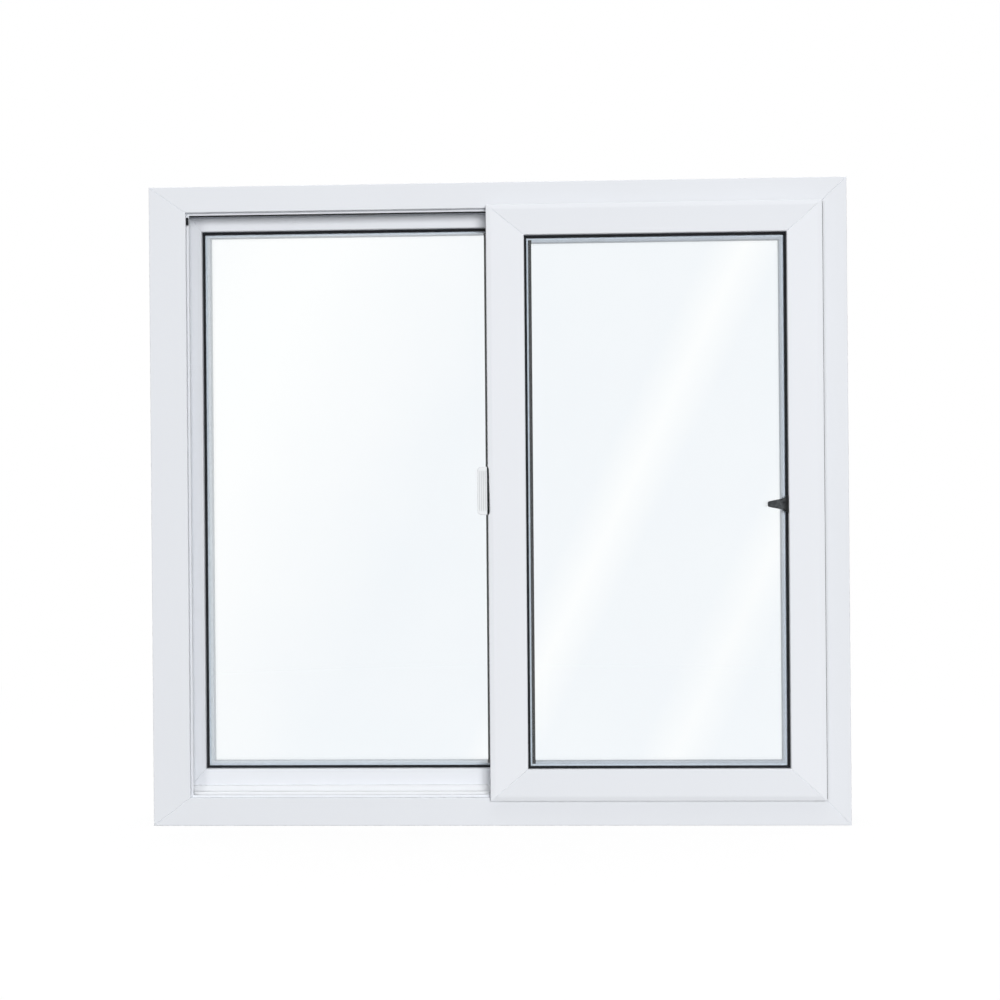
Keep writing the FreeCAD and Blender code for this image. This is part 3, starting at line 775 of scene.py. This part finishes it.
class WINDOW_OT_gaskets(Operator):
    """Shape the gaskets as rounded lips and finish the seals"""
    bl_idname = "sliding_window.gaskets"
    bl_label = "Gaskets and seals"

    def execute(self, context):
        settings = settings_of(context).seal
        material = rubber("black_rubber", settings)
        for light in LIGHTS:
            for side, nose_first in (("front", True), ("rear", False)):
                node = f"{light}_{side}_gasket"
                piece = make_piece(f"{light}_{side}_lip", self.lip(node, settings, nose_first),
                                   material)
                split_edges(piece, LIP_EDGE)
                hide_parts(node)
        # The head's pile strip is black rubber, and its black also paints the deep shade in the head's
        # groove
        dress(["sash_flange_seal", "head_pile_strip"], material)
        # Painted shade: the black pad in the left jamb's groove below the head
        make_piece("jamb_dust_pad", self.pad(settings), material, wrap_rows=False)
        # Painted shadow: the black strip beside the closing stile
        make_piece("sash_edge_lip", self.shadow_strip(settings), material, wrap_rows=False)
        sealant = two_tone("pale_sealant", settings.sealant, mottle=0.12, grain=8 * MM, roughness=0.6,
                           relief=0.05 * MM)
        dress([light + "_edge_sealant" for light in LIGHTS], sealant)
        return {"FINISHED"}

    def lip(self, node, settings, nose_first):
        """A quarter ellipse from the profile down to the glass, with a cosine ripple for the flutes,
        closed by the flat faces on the glass and under the profile."""
        box, near, far = node_rectangle(node)
        turn = np.linspace(0.0, pi / 2, LIP_STEPS)
        start = self.covered(node) - settings.lip_start
        across = start + (ring_width(node) - start) * np.sin(turn)
        fall = 1.0 - np.cos(turn)
        ripple = settings.flute_depth * (1.0 - np.cos(4 * settings.flutes * turn)) / 2
        depth = (far - near) * fall + ripple * (1.0 - fall)
        depth = near + depth if nose_first else far - depth
        glass = far if nose_first else near
        leg = near if nose_first else far
        inset = np.concatenate([[0.0, 0.0], across])
        return swept_ring(box, inset, np.concatenate([[glass, leg], depth]), settings.corner_radius)

    def covered(self, node):
        """How much of a gasket's width lies under the profile."""
        light = node.split("_")[0]
        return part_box(f"{light}_{STILES[light]['left']}_stile")[1].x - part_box(node)[0].x

    def pad(self, settings):
        """A boxy black superellipsoid in the step of the left jamb's lip, below the head, painting the
        shade that the head casts into the jamb's groove.

        At latitude u and longitude v it is its centre plus half its size times the signed fifth roots
        of (cos u cos v, cos u sin v, sin u). These are rounded first, so that the poles close.
        """
        jamb_low, jamb_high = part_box("frame_left_jamb")
        size = np.array(settings.pad_size)
        back = jamb_low.y + size[1] + settings.pad_inset
        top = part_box("frame_head")[0].z - settings.pad_drop
        latitude = np.linspace(-pi / 2, pi / 2, PAD_RINGS)[:, None]
        longitude = full_turn(PAD_POINTS)
        level = np.cos(latitude)
        ways = np.broadcast_arrays(level * np.cos(longitude), level * np.sin(longitude), np.sin(latitude))
        reach = signed_power(np.stack(ways, axis=-1).round(POLE_DIGITS), PAD_POWER)
        return np.array([jamb_high.x, back, top]) - size / 2 + size / 2 * reach

    def shadow_strip(self, settings):
        """A painted shadow beside the closing stile: black rubber as a soft lip of the flange's seal,
        standing out where the sash casts its shadow on the jamb; an ellipse carried up its edge.

        At height z and angle a it is the edge plus the reach times cos a in X and half the seal's depth
        times sin a in Y; a quarter circle eases both ends to a point.
        """
        low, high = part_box("sash_flange_seal")
        half_depth = (high.y - low.y) / 2
        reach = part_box("sash_closing_stile")[1].x + settings.shadow_strip_reach - high.x
        up, ease = eased_column(high.z - low.z, half_depth)
        turn = full_turn(SHADOW_STRIP_POINTS)
        x = high.x + reach * ease * np.cos(turn)
        y = low.y + half_depth + half_depth * ease * np.sin(turn)
        return np.stack(np.broadcast_arrays(x, y, low.z + up), axis=-1)


class WINDOW_OT_glazing(Operator):
    """Finish the panes and shape the metal spacers between them"""
    bl_idname = "sliding_window.glazing"
    bl_label = "Glass and spacers"

    def execute(self, context):
        settings = settings_of(context).glazing
        dress([name for name in NODES if name.endswith("_pane")], clear_glass("clear_glass", settings))
        for light in LIGHTS:
            node = light + "_spacer_bar"
            low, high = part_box(node)
            edge, inward = (low.x, 1) if light == "sash" else (high.x, -1)
            # Painted shade on the spacer beside its meeting stile
            painted_shade_end = edge + inward * settings.painted_shade_end
            colour = getattr(settings, light + "_spacer")
            metal = spacer_metal(light + "_spacer_metal", colour, settings.spacer_painted_shade, painted_shade_end,
                                 painted_shade_end + inward * settings.painted_shade_fade)
            reach = getattr(settings, light + "_reach")
            piece = make_piece(light + "_spacer", self.bar(node, settings, reach), metal)
            split_edges(piece, BAR_EDGE)
            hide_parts(node)
        return {"FINISHED"}

    def bar(self, node, settings, reach):
        """A flat bar between the panes: its inner face falls back exponentially at both shoulders and by
        a bell curve along the seam in its middle."""
        box, near, far = node_rectangle(node)
        near, far = near + settings.pane_gap, far - settings.pane_gap
        depth = np.linspace(near, far, BAR_STEPS)
        from_edge = np.minimum(depth - near, far - depth)
        from_middle = depth - (near + far) / 2
        shoulder = settings.shoulder_drop * np.exp(-from_edge / settings.shoulder_width)
        seam = settings.seam_depth * np.exp(-(from_middle / settings.seam_width) ** 2)
        face = (ring_width(node) - shoulder - seam)[:, None] + np.array(reach)
        inset = np.concatenate([np.zeros((2, 4)), face])
        return swept_ring(box, inset, np.concatenate([[far, near], depth]), settings.corner_radius)


class WINDOW_OT_fittings(Operator):
    """Shape the latch lever and finish the latch, the pull, the guides and the rollers"""
    bl_idname = "sliding_window.fittings"
    bl_label = "Latch, pull and running gear"

    def execute(self, context):
        settings = settings_of(context).fitting
        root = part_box("latch_lever")[1].x
        # Painted shade on the lever's last stretch towards its root
        charcoal = moulded("charcoal_grain", settings.charcoal, settings.charcoal_speck, settings.grain,
                           roughness=0.48, relief=0.10 * MM, shine=DULL_SHINE,
                           shade=(root - settings.root_length, root, settings.painted_root_shade))
        lever = make_piece("latch_lever_grip", self.lever(settings), charcoal,
                           wrap_rows=False)
        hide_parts("latch_lever")
        dress(["latch_base"], charcoal)
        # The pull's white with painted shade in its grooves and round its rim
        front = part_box("finger_pull")[0].y
        dress(["finger_pull"], groove_shaded_white("pull_white", settings.pull_white, settings.painted_groove_shade, front,
                                       settings.groove_depth))
        # Painted shadow: the black wedge in the notch beside the pull
        liner = make_piece("pull_wedge", self.wedge(settings), bpy.data.materials["black_rubber"],
                           wrap_rows=False)
        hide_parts("pull_liner")
        guide = two_tone("guide_grey", settings.guide_grey, mottle=0.06, grain=4 * MM, roughness=0.50,
                         relief=0.03 * MM)
        nylon = two_tone("grey_nylon", settings.nylon, mottle=0.10, grain=3 * MM, roughness=0.45,
                         relief=0.03 * MM)
        steel = two_tone("zinc_steel", settings.steel, mottle=0.20, grain=5 * MM, roughness=0.34,
                         relief=0.02 * MM, metal=1.0)
        dress(["interlock_strip", "top_guide_left", "top_guide_right"], guide)
        dress(["roller_wheel_left", "roller_wheel_right"], nylon)
        dress(["roller_carriage_left", "roller_carriage_right"], steel)
        return {"FINISHED"}

    def lever(self, settings):
        """A tapered lever: across its length x the section is a superellipse with exponent 4.

        Its half height grows in a straight line from the tip and flares exponentially at the root;
        height and depth are eased by a quarter circle over the rounded tip, and both ends close in a point.
        """
        low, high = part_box("latch_lever")
        length = high.x - low.x
        root = (high.z - low.z) / 2
        tip = root * settings.tip_share
        along = length * (1.0 - np.cos(np.linspace(0.0, pi / 2, LEVER_STEPS)))
        flare = settings.flare_height / 2 * np.exp((along - length) / settings.flare_length)
        half_height = tip + (root - tip) * along / length + flare
        nose = np.sqrt(1.0 - (1.0 - np.minimum(along / settings.nose_length, 1.0)) ** 2)
        rounding = settings.nose_share + (1.0 - settings.nose_share) * nose
        half_height = np.append(half_height * rounding * np.sign(nose), 0.0)[:, None]
        half_depth = np.append((high.y - low.y) / 2 * nose, 0.0)[:, None]
        along = np.append(along, length)[:, None]
        turn = full_turn(LEVER_POINTS)
        y = (low.y + high.y) / 2 + half_depth * signed_power(np.cos(turn), SUPERELLIPSE)
        z = (low.z + high.z) / 2 + half_height * signed_power(np.sin(turn), SUPERELLIPSE)
        return np.stack(np.broadcast_arrays(low.x + along, y, z), axis=-1)

    def wedge(self, settings):
        """A painted shadow: black rubber in the notch beside the pull, where the slot lies in deep shadow;
        at each height a superellipse with exponent 4 in X and Y.

        Its left edge is straight and its right edge slants; a quarter circle eases both ends to a point.
        """
        low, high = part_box("pull_liner")
        height = high.z - low.z
        up, ease = eased_column(height, settings.wedge_end)
        left = low.x - settings.wedge_reach
        right = low.x + settings.wedge_bottom + (settings.wedge_top - settings.wedge_bottom) * up / height
        turn = full_turn(WEDGE_POINTS)
        x = (left + right) / 2 + (right - left) / 2 * ease * signed_power(np.cos(turn), SUPERELLIPSE)
        y = (low.y + high.y) / 2 + (high.y - low.y) / 2 * ease * signed_power(np.sin(turn), SUPERELLIPSE)
        return np.stack(np.broadcast_arrays(x, y, low.z + up), axis=-1)


class WINDOW_OT_stage(Operator):
    """Set up the camera, the soft light and the white floor"""
    bl_idname = "sliding_window.stage"
    bl_label = "Stage"

    def execute(self, context):
        settings = settings_of(context).stage
        context.scene.view_settings.view_transform = "Standard"
        self.camera(context.scene, settings)
        self.world(context.scene, settings)
        for name in ("key", "fill"):
            place, width, height, power = (getattr(settings, f"{name}_{part}")
                                           for part in ("place", "width", "height", "power"))
            self.lamp(context.scene, name + "_lamp", place, (width, height), power)
        self.floor(context.scene, settings)
        return {"FINISHED"}

    def camera(self, scene, settings):
        """A level camera, turned to the left by its yaw and leaned by its roll."""
        data = bpy.data.cameras.new("camera")
        data.lens = settings.lens
        data.sensor_width = SENSOR_WIDTH
        camera = bpy.data.objects.new("camera", data)
        yaw = Matrix.Rotation(settings.camera_yaw, 4, "Z")
        level = Matrix.Rotation(pi / 2, 4, "X")
        roll = Matrix.Rotation(settings.camera_roll, 4, "Z")
        camera.matrix_world = Matrix.Translation(settings.camera_place) @ yaw @ level @ roll
        scene.collection.objects.link(camera)
        scene.camera = camera

    def seen_directly(self, tree):
        """1 for rays from the camera, from reflections and through glass, and 0 for the rest."""
        path = add_node(tree, "LightPath")
        seen = calculate(tree, "MAXIMUM", path.outputs["Is Camera Ray"], path.outputs["Is Glossy Ray"])
        return calculate(tree, "MAXIMUM", seen, path.outputs["Is Transmission Ray"])

    def world(self, scene, settings):
        """White surroundings: full white where they are seen; as light, brightest overhead and behind."""
        world = bpy.data.worlds.new("white_surroundings")
        world.use_nodes = True
        tree = world.node_tree
        background = tree.nodes["Background"]
        background.inputs["Color"].default_value = (1.0, 1.0, 1.0, 1.0)
        direction = add_node(tree, "TexCoord").outputs["Generated"]
        above = spread(tree, part_of(tree, direction, "Z"), settings.sky_round, settings.sky_above,
                       *OVERHEAD)
        behind = spread(tree, part_of(tree, direction, "Y"), settings.sky_round, settings.sky_behind,
                        *BEHIND)
        light = calculate(tree, "MAXIMUM", above, behind)
        strength = calculate(tree, "MAXIMUM", light, self.seen_directly(tree))
        tree.links.new(strength, background.inputs["Strength"])
        scene.world = world

    def lamp(self, scene, name, place, size, power):
        """A large soft lamp, aimed at the middle of the window and left out of reflections."""
        data = bpy.data.lights.new(name, "AREA")
        data.shape = "RECTANGLE"
        data.size, data.size_y = size
        data.energy = power
        lamp = bpy.data.objects.new(name, data)
        place = Vector(place)
        aim = (CAD_BOX[0] + CAD_BOX[1]) / 2 - place
        lamp.matrix_world = Matrix.Translation(place) @ aim.to_track_quat("-Z", "Y").to_matrix().to_4x4()
        lamp.visible_glossy = False
        lamp.visible_transmission = False
        scene.collection.objects.link(lamp)

    def floor(self, scene, settings):
        """A flat square grid under the window, which fades into the white background round about."""
        side = np.linspace(-settings.floor_size, settings.floor_size, FLOOR_STEPS)
        x, y = np.meshgrid(side, side)
        points = np.stack([x, y, np.full_like(x, CAD_BOX[0].z)], axis=-1).reshape(-1, 3)
        mesh = bpy.data.meshes.new("floor")
        mesh.from_pydata(points, [], grid_faces(len(side), len(side), False, False))
        material, tree, shader = new_shader("floor_white")
        distance = add_node(tree, "VectorMath", operation="LENGTH")
        tree.links.new(place_in_object(tree), distance.inputs[0])
        away = distance.outputs["Value"]
        tone = spread(tree, away, settings.floor_tone, 0.0, 0.0, settings.floor_fade)
        tree.links.new(tone, shader.inputs["Base Color"])
        shader.inputs["Roughness"].default_value = FLOOR_ROUGHNESS
        shader.inputs["Specular IOR Level"].default_value = 0.0
        shader.inputs["Emission Color"].default_value = (1.0, 1.0, 1.0, 1.0)
        rise = spread(tree, away, settings.floor_glow, 1.0, 0.0, settings.floor_fade)
        share = spread(tree, self.seen_directly(tree), settings.floor_fill, 1.0, 0.0, 1.0)
        glow = calculate(tree, "MULTIPLY", share, rise)
        tree.links.new(glow, shader.inputs["Emission Strength"])
        mesh.materials.append(material)
        floor = bpy.data.objects.new("floor", mesh)
        scene.collection.objects.link(floor)


OPERATORS = (WINDOW_OT_profiles, WINDOW_OT_gaskets, WINDOW_OT_glazing, WINDOW_OT_fittings, WINDOW_OT_stage)
GROUPS = (ProfileSettings, SealSettings, GlazingSettings, FittingSettings, StageSettings, WindowSettings)


class WINDOW_PT_finishes(Panel):
    """Lists the window's operators and settings"""
    bl_idname = "WINDOW_PT_finishes"
    bl_label = "Sliding window"
    bl_space_type = "VIEW_3D"
    bl_region_type = "UI"
    bl_category = "Window"

    def draw(self, context):
        layout = self.layout
        for operator in OPERATORS:
            layout.operator(operator.bl_idname)
        settings = settings_of(context)
        for name in WindowSettings.__annotations__:
            box = layout.box()
            box.label(text=name.capitalize())
            group = getattr(settings, name)
            for key in group.__annotations__:
                box.prop(group, key)


CLASSES = GROUPS + OPERATORS + (WINDOW_PT_finishes,)


def register():
    for entry in CLASSES:
        bpy.utils.register_class(entry)
    bpy.types.Scene.sliding_window = PointerProperty(type=WindowSettings)


def unregister():
    del bpy.types.Scene.sliding_window
    for entry in reversed(CLASSES):
        bpy.utils.unregister_class(entry)


def main():
    register()
    bpy.ops.sliding_window.profiles()
    bpy.ops.sliding_window.gaskets()
    bpy.ops.sliding_window.glazing()
    bpy.ops.sliding_window.fittings()
    bpy.ops.sliding_window.stage()


if __name__ == "__main__":
    main()
